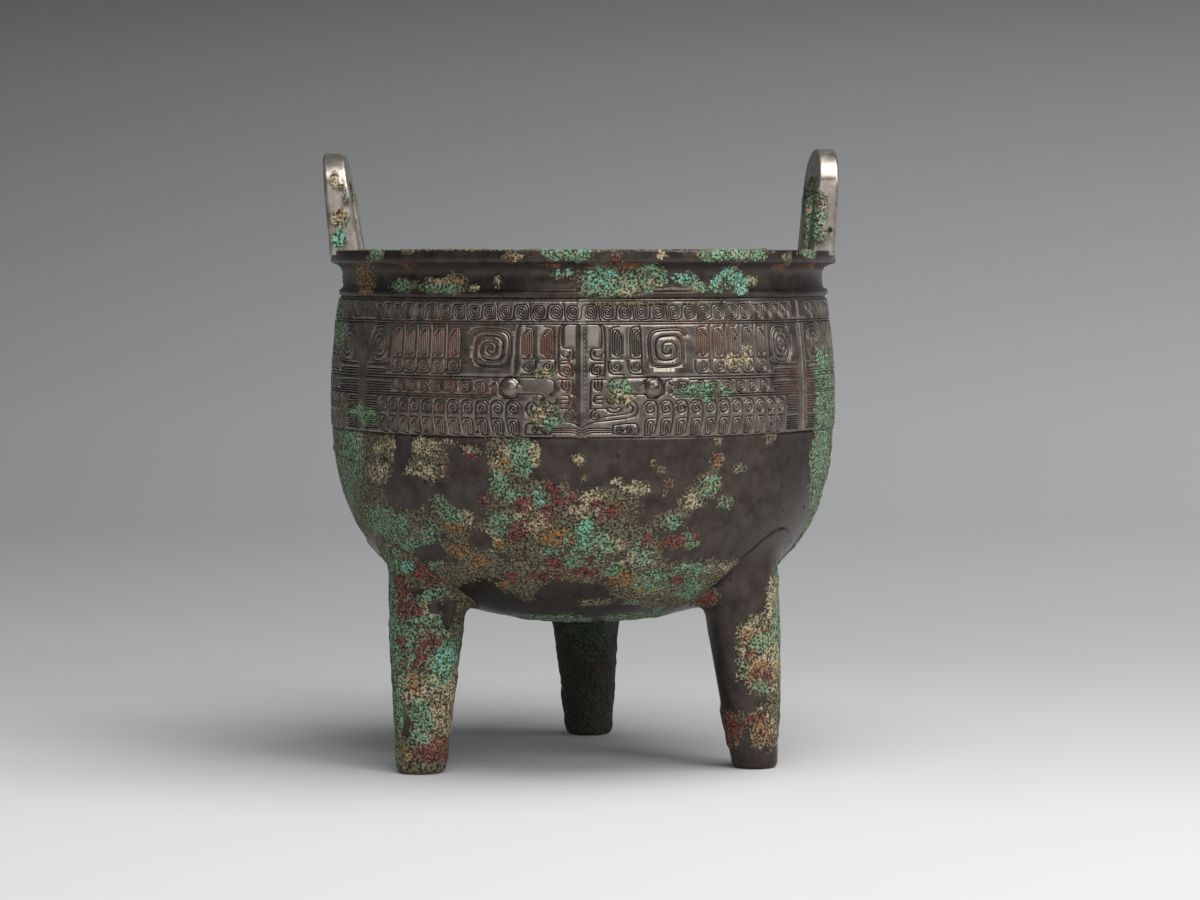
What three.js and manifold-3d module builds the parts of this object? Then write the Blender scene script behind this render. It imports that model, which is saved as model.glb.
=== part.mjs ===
// A three-legged ritual cauldron (ding) in cast bronze, about 21 cm high, as one hollow casting.
// Millimetres, +Z up. The front mask faces -Y and the handles stand at -X and +X.
// The origin is on the ground under the middle of the whole vessel.

import * as THREE from "three";
import { mergeVertices } from "three/addons/utils/BufferGeometryUtils.js";
import Module from "manifold-3d";

const wasm = await Module();
wasm.setup();

// Driving dimensions
const segments = 48; // facets around the bowl, a multiple of three so that each lobe gets its share
const wall = 3.3;
const floorThickness = 3.6;

const lip = { top: 175.5, face: 4.5, radius: 86.9, edge: 0.5 };
const neck = { radius: 82.6, height: 167, foot: 162.6, footRadius: 83.1 };
const ridge = { low: 160.8, high: 161.9, radius: 84.2 }; // bead that closes the neck
const band = { top: 160.2, bottom: 115.4, topRadius: 83.9, fallPower: 1.6 };
const registers = [135.2, 151.7]; // heights at which the rows of carving meet
const borderGroove = { width: 1.3, depth: 0.7 };
const belly = { radius: 87, widest: 126.5, depth: 78.3, power: 2.6 };
const curveRings = { outside: 8, cavity: 6 };

// Each third of the bowl swells on a centre of its own, so that creases run down above the legs.
const lobes = 3;
const lobeOffset = 0.058; // a lobe's centre is this share of the radius out from the axis
const lobeFade = { from: 88, to: 112 }; // the lobes die out over this height

const legRadii = { foot: 7.6, ankle: 8.4, ankleHeight: 8, knee: 11.8, kneeHeight: 45, top: 13.2 };
const legTop = 76;
const legJoint = 62; // height at which the reach below is given
const legEdge = 1.6;
const legSides = 14;
const legs = [
  { around: -60, reach: 60.4, footAround: -53.4, footReach: 67.6 },
  { around: 60, reach: 61.2, footAround: 65.6, footReach: 64.2 },
  { around: 180, reach: 60.0, footAround: 178.2, footReach: 62.6 },
];

const handleArch = { halfWidth: 19.4, bar: 9.2, crown: 13, opening: 6.4, sink: 2.2, edge: 0.9 };
const handles = [
  { side: -1, height: 33, inner: [76.3, 81.8], outer: [85.5, 88.9], yaw: 0.5 },
  { side: 1, height: 34.4, inner: [76.6, 79.9], outer: [84.2, 86.5], yaw: 2.2 },
];

// Carving: widths run along the bowl's arc from the middle of a lobe, heights are above the ground.
const pitch = (Math.PI * belly.radius) / segments; // two cells of the pattern to each facet
const carveDepth = 0.7;
const proud = 1.2; // how far each cutter stands out of the bronze
const spiralRow = { count: 30, width: 4.2, height: 4.6, middle: 155.2 };
const horn = {
  at: 30.3,
  middle: 143.5,
  width: 16.6,
  height: 14.6,
  corner: 4.1,
  groove: 1.2,
  depth: 1,
  coil: 9.6,
};
const tail = { at: 80, middle: 144, width: 10.4, height: 13.4 };
const quill = { low: 136.2, high: 150.7, width: 4, hook: 2.2 };
const outerQuills = { from: 7.5 * pitch, pitch, count: 5 };
const innerQuills = { from: 1.95 * pitch, pitch: 1.12 * pitch, count: 2 };
const hookRow = { low: 117, high: 126.3, from: 3.5 * pitch, count: 11, width: 3, lean: 1.1 };
const eye = { at: 23.4, height: 130.9, radius: 3.2, rise: 1.9 };
const nose = { low: 118.6, high: 151.2, rootWidth: 3.2, crestWidth: 1.3, rise: 1.2, sunk: 0.8, steps: 4 };

const bronze = new THREE.MeshStandardMaterial({ color: 0x4d463f, roughness: 0.42, metalness: 1 });

const degrees = THREE.MathUtils.degToRad;

// The angle runs from the front (-Y) towards +X, as seen from above.
function direction(angle) {
  return new THREE.Vector2(Math.sin(angle), -Math.cos(angle));
}

function lobing(angle, height) {
  const lobeAngle = (2 * Math.PI) / lobes;
  const off = angle - Math.round(angle / lobeAngle) * lobeAngle;
  const offset = lobeOffset * THREE.MathUtils.smoothstep(height, lobeFade.from, lobeFade.to);
  const lobeRadius = 1 - offset * Math.cos(lobeAngle / 4);
  return offset * Math.cos(off) + Math.sqrt(lobeRadius ** 2 - (offset * Math.sin(off)) ** 2);
}

// Outer radius of the bowl before the lobes, between the belly's widest line and the band's top.
function shoulderRadius(height) {
  const share = (height - belly.widest) / (band.top - belly.widest);
  return belly.radius - (belly.radius - band.topRadius) * share ** band.fallPower;
}

function bowlRadius(height) {
  if (height >= belly.widest) return shoulderRadius(height);
  const share = (belly.widest - height) / belly.depth;
  return belly.radius * (1 - share ** belly.power) ** (1 / belly.power);
}

// The rounded underside, from the axis up to the widest line or to a height just below it.
function bellyCurve(radius, depth, until, rings) {
  const points = [];
  const last = Math.asin(((belly.widest - until) / depth) ** (belly.power / 2));
  for (let i = 0; i < rings; i++) {
    const turn = Math.PI / 2 + ((last - Math.PI / 2) * i) / (rings - 1);
    const x = i === 0 ? 0 : radius * Math.cos(turn) ** (2 / belly.power);
    points.push(new THREE.Vector2(x, belly.widest - depth * Math.sin(turn) ** (2 / belly.power)));
  }
  return points;
}

function grooveAt(height, { width, depth }) {
  return [
    new THREE.Vector2(bowlRadius(height - width / 2), height - width / 2),
    new THREE.Vector2(bowlRadius(height) - depth, height),
    new THREE.Vector2(bowlRadius(height + width / 2), height + width / 2),
  ];
}

function outerProfile() {
  const bellyTop = band.bottom - 2 * borderGroove.width;
  return [
    ...bellyCurve(belly.radius, belly.depth, bellyTop, curveRings.outside),
    ...grooveAt(band.bottom - borderGroove.width / 2, borderGroove),
    new THREE.Vector2(belly.radius, belly.widest),
    ...registers.map((height) => new THREE.Vector2(bowlRadius(height), height)),
    ...grooveAt(band.top - borderGroove.width / 2, borderGroove),
    new THREE.Vector2(ridge.radius, ridge.low),
    new THREE.Vector2(ridge.radius, ridge.high),
    new THREE.Vector2(neck.footRadius, neck.foot),
    new THREE.Vector2(neck.radius, neck.height),
    new THREE.Vector2(lip.radius, lip.top - lip.face),
    new THREE.Vector2(lip.radius, lip.top - lip.edge),
    new THREE.Vector2(lip.radius - lip.edge, lip.top),
    new THREE.Vector2(0, lip.top),
  ];
}

function cavityProfile() {
  const above = 2;
  const mouth = neck.radius - wall;
  return [
    ...bellyCurve(belly.radius - wall, belly.depth - floorThickness, belly.widest, curveRings.cavity),
    new THREE.Vector2(bowlRadius(registers[0]) - wall, registers[0]),
    new THREE.Vector2(mouth, neck.foot),
    new THREE.Vector2(mouth, lip.top + above),
    new THREE.Vector2(0, lip.top + above),
  ];
}

// A three.js geometry as a solid, with its vertices joined.
function solid(geometry) {
  geometry.deleteAttribute("normal");
  geometry.deleteAttribute("uv");
  const merged = mergeVertices(geometry, 1e-4);
  return new wasm.Manifold(
    new wasm.Mesh({
      numProp: 3,
      vertProperties: merged.attributes.position.array,
      triVerts: new Uint32Array(merged.index.array),
    }),
  );
}

// Moves every vertex of a geometry: the given function reads it and sets its new place.
function reshape(geometry, place) {
  const position = geometry.attributes.position;
  const vertex = new THREE.Vector3();
  for (let i = 0; i < position.count; i++) {
    vertex.fromBufferAttribute(position, i);
    place(vertex.clone(), vertex);
    position.setXYZ(i, vertex.x, vertex.y, vertex.z);
  }
  return geometry;
}

function lobedLathe(profile) {
  const geometry = new THREE.LatheGeometry(profile, segments).rotateX(Math.PI / 2);
  return reshape(geometry, ({ x, y, z }, vertex) => {
    const factor = lobing(Math.atan2(x, -y), z);
    vertex.set(x * factor, y * factor, z);
  });
}

function legSolid({ around, reach, footAround, footReach }) {
  const profile = [
    new THREE.Vector2(0, 0),
    new THREE.Vector2(legRadii.foot - legEdge, 0),
    new THREE.Vector2(legRadii.foot, legEdge),
    new THREE.Vector2(legRadii.ankle, legRadii.ankleHeight),
    new THREE.Vector2(legRadii.knee, legRadii.kneeHeight),
    new THREE.Vector2(legRadii.top, legTop),
    new THREE.Vector2(0, legTop),
  ];
  const foot = direction(degrees(footAround)).multiplyScalar(footReach);
  const joint = direction(degrees(around)).multiplyScalar(reach);
  const geometry = new THREE.LatheGeometry(profile, legSides).rotateX(Math.PI / 2);
  return solid(
    reshape(geometry, ({ x, y, z }, vertex) => {
      const axis = foot.clone().lerp(joint, z / legJoint);
      vertex.set(x + axis.x, y + axis.y, z);
    }),
  );
}

// An upright loop open at its foot: two straight jambs under half an ellipse, inside and outside.
function archShape(height) {
  const { halfWidth, bar, crown, opening, sink, edge } = handleArch;
  const outside = halfWidth - edge;
  const inside = halfWidth - bar + edge;
  const outsideSpring = height - crown;
  const insideSpring = height - bar - opening;
  const shape = new THREE.Shape();
  shape.moveTo(-outside, -sink);
  shape.lineTo(-inside, -sink);
  shape.lineTo(-inside, insideSpring);
  shape.absellipse(0, insideSpring, inside, opening + edge, Math.PI, 0, true, 0);
  shape.lineTo(inside, -sink);
  shape.lineTo(outside, -sink);
  shape.lineTo(outside, outsideSpring);
  shape.absellipse(0, outsideSpring, outside, crown - edge, 0, Math.PI, false, 0);
  shape.closePath();
  return shape;
}

// The loop's thickness runs from 0 on its inner face to 1 on its outer face, and is then spread
// between the two faces, which lean outwards by different amounts.
function handleSolid({ side, height, inner, outer, yaw }) {
  const chamfer = 0.1;
  const geometry = new THREE.ExtrudeGeometry(archShape(height), {
    depth: 1 - 2 * chamfer,
    bevelThickness: chamfer,
    bevelSize: handleArch.edge,
    bevelSegments: 1,
    curveSegments: 7,
  });
  const turn = degrees(yaw);
  return solid(
    reshape(geometry, ({ x: along, y: up, z: depth }, vertex) => {
      const near = THREE.MathUtils.lerp(inner[0], inner[1], up / height);
      const far = THREE.MathUtils.lerp(outer[0], outer[1], up / height);
      const out = THREE.MathUtils.lerp(near, far, depth + chamfer);
      vertex.set(
        side * (out - along * Math.sin(turn)),
        side * along * Math.cos(turn),
        lip.top + up,
      );
    }),
  );
}

function bandPoint(angle, height) {
  const radius = bowlRadius(height) * lobing(angle, height);
  const out = direction(angle);
  return new THREE.Vector3(out.x * radius, out.y * radius, height);
}

// Stands a geometry on the band: x runs along the arc, y up the wall and z out of the bronze.
function standOnBand(geometry, { lobe, along, height }) {
  const angle = (lobe * 2 * Math.PI) / lobes + along / belly.radius;
  const reach = Math.PI / segments;
  const right = bandPoint(angle + reach, height).sub(bandPoint(angle - reach, height)).normalize();
  const up = bandPoint(angle, height + 1).sub(bandPoint(angle, height - 1)).normalize();
  const out = right.clone().cross(up);
  const frame = new THREE.Matrix4().makeBasis(right, up, out).setPosition(bandPoint(angle, height));
  return solid(geometry.applyMatrix4(frame));
}

// A rectangle about the origin, anticlockwise, with its corners cut off.
function cutCornered(width, height, corner) {
  const w = width / 2;
  const h = height / 2;
  return [
    [corner - w, -h],
    [w - corner, -h],
    [w, corner - h],
    [w, h - corner],
    [w - corner, h],
    [corner - w, h],
    [-w, h - corner],
    [-w, corner - h],
  ].map(([x, y]) => new THREE.Vector2(x, y));
}

// A prism that reaches from the given depth in the bronze to just outside it.
function cutter(shape, depth) {
  const geometry = new THREE.ExtrudeGeometry(shape, { depth: depth + proud, bevelEnabled: false });
  return geometry.translate(0, 0, -depth);
}

function ringCutter({ width, height, groove, depth, corner }) {
  const shape = new THREE.Shape(cutCornered(width, height, corner));
  const inside = cutCornered(width - 2 * groove, height - 2 * groove, corner - groove / 2);
  shape.holes.push(new THREE.Path(inside));
  return cutter(shape, depth);
}

// A pit whose four or eight sides slope to a point at the carving's depth. The cone is scaled so
// that it has the given width and height where it passes the surface.
function pitCutter(width, height, sides) {
  const tall = carveDepth + proud;
  const spread = tall / (2 * Math.cos(Math.PI / sides) * carveDepth);
  return new THREE.ConeGeometry(1, tall, sides)
    .rotateY(Math.PI / sides)
    .rotateX(-Math.PI / 2)
    .scale(width * spread, height * spread, 1)
    .translate(0, 0, tall / 2 - carveDepth);
}

// An upright V-shaped groove that leans by the given offset at its ends.
function grooveCutter(width, height, lean) {
  const half = (width / 2) * (1 + proud / carveDepth);
  const section = new THREE.Shape([
    new THREE.Vector2(0, -carveDepth),
    new THREE.Vector2(half, proud),
    new THREE.Vector2(-half, proud),
  ]);
  const geometry = new THREE.ExtrudeGeometry(section, { depth: height, bevelEnabled: false });
  return reshape(geometry, ({ x, y, z }, vertex) => {
    const up = height / 2 - z;
    vertex.set(x + (2 * lean * up) / height, up, y);
  });
}

// A tall cell that has its upper corner away from the nose cut off.
function quillCutter(side) {
  const w = quill.width / 2;
  const h = (quill.high - quill.low) / 2;
  const corners = [
    [-w, -h],
    [w, -h],
    [w, h - quill.hook],
    [w - quill.hook, h],
    [-w, h],
  ].map(([x, y]) => new THREE.Vector2(x * side, y));
  return cutter(new THREE.Shape(corners), carveDepth);
}

// The sunk cells of one lobe, each with its place along the arc and its height.
function bandCuts() {
  const cuts = [];
  const cut = (geometry, along, height) => cuts.push({ geometry, along, height });
  for (let i = 0; i < spiralRow.count; i++) {
    const along = (i - (spiralRow.count - 1) / 2) * pitch;
    cut(pitCutter(spiralRow.width, spiralRow.height, 4), along, spiralRow.middle);
  }
  for (const side of [-1, 1]) {
    const coilHeight = (horn.coil * horn.height) / horn.width;
    cut(ringCutter(horn), side * horn.at, horn.middle);
    cut(pitCutter(horn.coil, coilHeight, 8), side * horn.at, horn.middle);
    cut(pitCutter(tail.width, tail.height, 8), side * tail.at, tail.middle);
    for (const { from, count, pitch: step } of [outerQuills, innerQuills]) {
      for (let i = 0; i < count; i++) {
        cut(quillCutter(side), side * (from + i * step), (quill.low + quill.high) / 2);
      }
    }
    for (let i = 0; i < hookRow.count; i++) {
      const along = side * (hookRow.from + i * pitch);
      const tall = hookRow.high - hookRow.low;
      cut(grooveCutter(hookRow.width, tall, -side * hookRow.lean), along, hookRow.low + tall / 2);
    }
  }
  return cuts;
}

// The raised ridge down the middle of the mask, bent to the bowl's curve.
function noseSolid(lobe) {
  const root = nose.rootWidth / 2;
  const crest = nose.crestWidth / 2;
  const section = new THREE.Shape(
    [
      [-root, -nose.sunk],
      [root, -nose.sunk],
      [root, 0],
      [crest, nose.rise],
      [-crest, nose.rise],
      [-root, 0],
    ].map(([x, y]) => new THREE.Vector2(x, y)),
  );
  const geometry = new THREE.ExtrudeGeometry(section, {
    depth: nose.high - nose.low,
    steps: nose.steps,
    bevelEnabled: false,
  });
  const middle = direction((lobe * 2 * Math.PI) / lobes);
  return solid(
    reshape(geometry, ({ x: along, y: rise, z: down }, vertex) => {
      const height = nose.high - down;
      const out = bowlRadius(height) * lobing(0, height) + rise;
      const square = new THREE.Vector2(-middle.y, middle.x); // at right angles to the lobe's middle
      vertex.set(
        middle.x * out + square.x * along,
        middle.y * out + square.y * along,
        height,
      );
    }),
  );
}

function eyeBoss() {
  const ball = new THREE.SphereGeometry(1, 8, 6).rotateX(Math.PI / 2);
  return ball.scale(eye.radius, eye.radius, eye.rise);
}

function vesselSolid() {
  let body = solid(lobedLathe(outerProfile()));
  for (const leg of legs) body = body.add(legSolid(leg));
  for (let lobe = 0; lobe < lobes; lobe++) {
    for (const { geometry, along, height } of bandCuts()) {
      body = body.subtract(standOnBand(geometry, { lobe, along, height }));
    }
    body = body.add(noseSolid(lobe));
    for (const side of [-1, 1]) {
      body = body.add(standOnBand(eyeBoss(), { lobe, along: side * eye.at, height: eye.height }));
    }
  }
  body = body.subtract(solid(lobedLathe(cavityProfile())));
  for (const handle of handles) body = body.add(handleSolid(handle));
  return body;
}

function geometryOf(manifold) {
  const { vertProperties, triVerts } = manifold.getMesh();
  const geometry = new THREE.BufferGeometry();
  geometry.setAttribute("position", new THREE.BufferAttribute(vertProperties, 3));
  geometry.setIndex(new THREE.BufferAttribute(triVerts, 1));
  geometry.computeBoundingBox();
  const middle = geometry.boundingBox.getCenter(new THREE.Vector3());
  return geometry.translate(-middle.x, -middle.y, -geometry.boundingBox.min.z);
}

const vessel = new THREE.Mesh(geometryOf(vesselSolid()), bronze);
vessel.name = "ding_vessel";

const ding = new THREE.Group();
ding.add(vessel);

export default ding;
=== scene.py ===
import math

import bpy
import numpy as np
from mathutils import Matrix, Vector, kdtree
from mathutils.geometry import delaunay_2d_cdt


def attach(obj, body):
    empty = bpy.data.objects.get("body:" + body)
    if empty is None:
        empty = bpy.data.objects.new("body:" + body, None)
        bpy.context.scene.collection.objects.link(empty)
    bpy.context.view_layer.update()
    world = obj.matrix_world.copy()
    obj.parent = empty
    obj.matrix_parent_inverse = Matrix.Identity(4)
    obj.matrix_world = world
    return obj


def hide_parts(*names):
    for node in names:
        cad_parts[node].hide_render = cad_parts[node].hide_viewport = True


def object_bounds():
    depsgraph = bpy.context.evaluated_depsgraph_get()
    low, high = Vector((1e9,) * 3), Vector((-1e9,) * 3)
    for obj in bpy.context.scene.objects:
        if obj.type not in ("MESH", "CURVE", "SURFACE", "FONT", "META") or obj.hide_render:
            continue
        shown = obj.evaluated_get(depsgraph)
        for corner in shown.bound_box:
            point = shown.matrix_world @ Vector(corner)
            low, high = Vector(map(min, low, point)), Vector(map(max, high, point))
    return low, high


mm = 0.001
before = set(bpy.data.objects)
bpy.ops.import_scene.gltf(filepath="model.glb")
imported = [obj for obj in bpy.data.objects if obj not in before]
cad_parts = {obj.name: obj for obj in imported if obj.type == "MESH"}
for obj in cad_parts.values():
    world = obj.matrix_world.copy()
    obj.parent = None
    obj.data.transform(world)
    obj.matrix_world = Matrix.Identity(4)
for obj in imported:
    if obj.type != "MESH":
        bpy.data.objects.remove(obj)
cadLow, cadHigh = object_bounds()

bowl = {
    "lipTop": 175.5,
    "lipRadius": 86.9,
    "bellyRadius": 87,
    "widest": 126.5,
    "bellyDepth": 78.3,
    "bellyPower": 2.6,
    "bandTop": 160.2,
    "bandTopRadius": 83.9,
    "bandBottom": 115.4,
    "shoulderPower": 1.6,
    "mouthRadius": 79.3,
    "wall": 3.3,
    "floor": 3.6,
    "lobeOffset": 0.058,
    "lobeFade": (88, 112),
    "columns": 480,
    "step": 1.15,  # mm between the belly's rings
}
noseRise = 1.2


def smoothStep(low, high, value):
    share = np.clip((value - low) / (high - low), 0, 1)
    return share * share * (3 - 2 * share)


def lobing(angle, height):  # each third of the bowl swells on a centre of its own
    third = 2 * math.pi / 3
    off = angle - np.round(angle / third) * third
    offset = bowl["lobeOffset"] * smoothStep(*bowl["lobeFade"], height)
    lobe = 1 - offset * math.cos(third / 4)
    return offset * np.cos(off) + np.sqrt(lobe**2 - (offset * np.sin(off)) ** 2)


def bowlRadius(height):
    rise = np.clip((height - bowl["widest"]) / (bowl["bandTop"] - bowl["widest"]), 0, 2)
    fall = np.clip((bowl["widest"] - height) / bowl["bellyDepth"], 0, 1)
    power = bowl["bellyPower"]
    drop = (bowl["bellyRadius"] - bowl["bandTopRadius"]) * rise ** bowl["shoulderPower"]
    shoulder = bowl["bellyRadius"] - drop
    return np.where(height > bowl["widest"], shoulder, bowl["bellyRadius"] * (1 - fall**power) ** (1 / power))


def undersideHeight(radius):  # height of the belly's skin over a given radius
    power = bowl["bellyPower"]
    share = np.clip(radius / bowl["bellyRadius"], 0, 1)
    return bowl["widest"] - bowl["bellyDepth"] * (1 - share**power) ** (1 / power)


# The vessel's axis in the frame: its right flank and the nose of its front mask are the box's sides.
axisX = cadHigh.x / mm - float(bowl["bellyRadius"] * lobing(math.pi / 2, bowl["widest"]))
axisY = cadLow.y / mm + float(bowl["bellyRadius"] * lobing(0, bowl["widest"])) + noseRise
footLevel = cadLow.z / mm


def inFrame(points):  # millimetres about the axis to metres in the frame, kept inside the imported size
    placed = (points + np.array((axisX, axisY, footLevel))) * mm
    slack = 0.00005
    low = np.array(cadLow) + (slack, slack, 0)
    return np.clip(placed, low, np.array(cadHigh) - slack)


def around(angle, radius, height):  # angle 0 is the front, and it grows towards the right
    return np.stack((np.sin(angle) * radius, -np.cos(angle) * radius, height + 0 * angle), axis=-1)


# Noise


def latticeNoise(points, seed):
    cell = np.floor(points).astype(np.int64)
    part = points - cell
    part = part * part * (3 - 2 * part)
    total = np.zeros(len(points))
    for corner in range(8):
        step = np.array((corner & 1, corner >> 1 & 1, corner >> 2))
        at = cell + step
        mixed = at[:, 0] * 73856093 ^ at[:, 1] * 19349663 ^ at[:, 2] * 83492791 ^ seed * 2654435761
        mixed = (mixed ^ mixed >> 13) * 1274126177 & 0x7FFFFFFF
        mixed = (mixed ^ mixed >> 15) * 668265263 & 0x7FFFFFFF
        weight = np.prod(np.where(step, part, 1 - part), axis=1)
        total += weight * ((mixed ^ mixed >> 11) % 65536 / 32768 - 1)
    return total


def fractal(points, size, octaves=3, seed=0):  # size in mm of the largest lumps, value about -1 to 1
    total = np.zeros(len(points))
    for octave in range(octaves):
        total += latticeNoise(points / size * 2.03**octave + 17.3 * octave, seed + octave) / 2**octave
    return total / 1.3


# Meshes


def meshPiece(name, points, faces, material, paints=None):
    mesh = bpy.data.meshes.new(name)
    mesh.from_pydata(inFrame(points).tolist(), [], faces)
    for paintName, values in (paints or {}).items():
        layer = mesh.attributes.new(paintName, "FLOAT", "POINT")
        layer.data.foreach_set("value", np.asarray(values, dtype=np.float32))
    mesh.polygons.foreach_set("use_smooth", [True] * len(mesh.polygons))
    mesh.materials.append(material)
    piece = bpy.data.objects.new(name, mesh)
    bpy.context.scene.collection.objects.link(piece)
    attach(piece, "root")
    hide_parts("ding_vessel")
    print(name, len(mesh.vertices), "points", len(mesh.polygons), "faces")
    return piece


def gridFaces(rows, columns, closed=True):  # quads between rows of points, counter-clockwise from outside
    row = np.arange(rows - 1)[:, None] * columns
    column = np.arange(columns if closed else columns - 1)[None, :]
    after = (column + 1) % columns
    corners = (row + column, row + after, row + columns + after, row + columns + column)
    return np.stack(corners, axis=-1).reshape(-1, 4).tolist()


def resample(points, step):  # evenly spaced points along a polyline, its ends kept
    points = np.asarray(points, dtype=float)
    lengths = np.linalg.norm(np.diff(points, axis=0), axis=1)
    along = np.concatenate(((0,), np.cumsum(lengths)))
    count = max(2, int(round(along[-1] / step)) + 1)
    wanted = np.linspace(0, along[-1], count)
    return np.stack([np.interp(wanted, along, points[:, k]) for k in range(points.shape[1])], axis=1)


def rounded(points, times=2):  # cuts the corners of a polyline, its ends kept
    points = np.asarray(points, dtype=float)
    for _ in range(times):
        near = points[:-1] * 0.75 + points[1:] * 0.25
        far = points[:-1] * 0.25 + points[1:] * 0.75
        middle = np.stack((near, far), axis=1).reshape(-1, points.shape[1])
        points = np.concatenate((points[:1], middle[1:-1], points[-1:]))
    return points


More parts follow.
